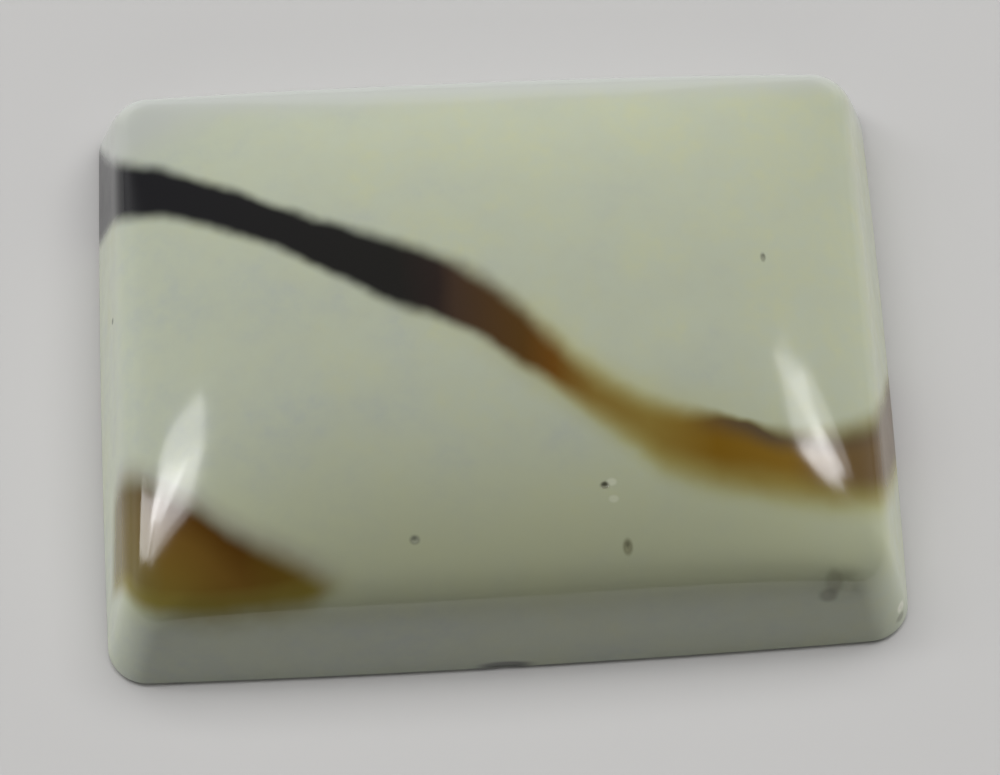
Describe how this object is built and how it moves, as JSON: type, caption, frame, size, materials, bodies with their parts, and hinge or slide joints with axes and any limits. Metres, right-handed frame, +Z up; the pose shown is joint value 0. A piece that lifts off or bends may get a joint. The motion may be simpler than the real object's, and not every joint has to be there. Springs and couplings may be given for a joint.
{
  "type": "peanut jasper cabochon",
  "caption": "Rectangular polished stone cabochon with rounded corners, a leaning girdle wall, soft shoulders, a low pillow dome and a flat back to rest or be set on.",
  "frame": {"origin": "centre of the flat back, on the surface the stone rests on", "axes": "+X along the stone's length, towards the right of the picture; +Y across it, towards the back of the picture; +Z up, out of the domed face"},
  "size_m": [0.0276, 0.0216, 0.0061],
  "materials": {
    "polished_jasper": "polished greenish cream jasper with a charcoal to amber band and one amber corner patch"
  },
  "bodies": {
    "root": {"cabochon": "polished_jasper"}
  },
  "joints": []
}
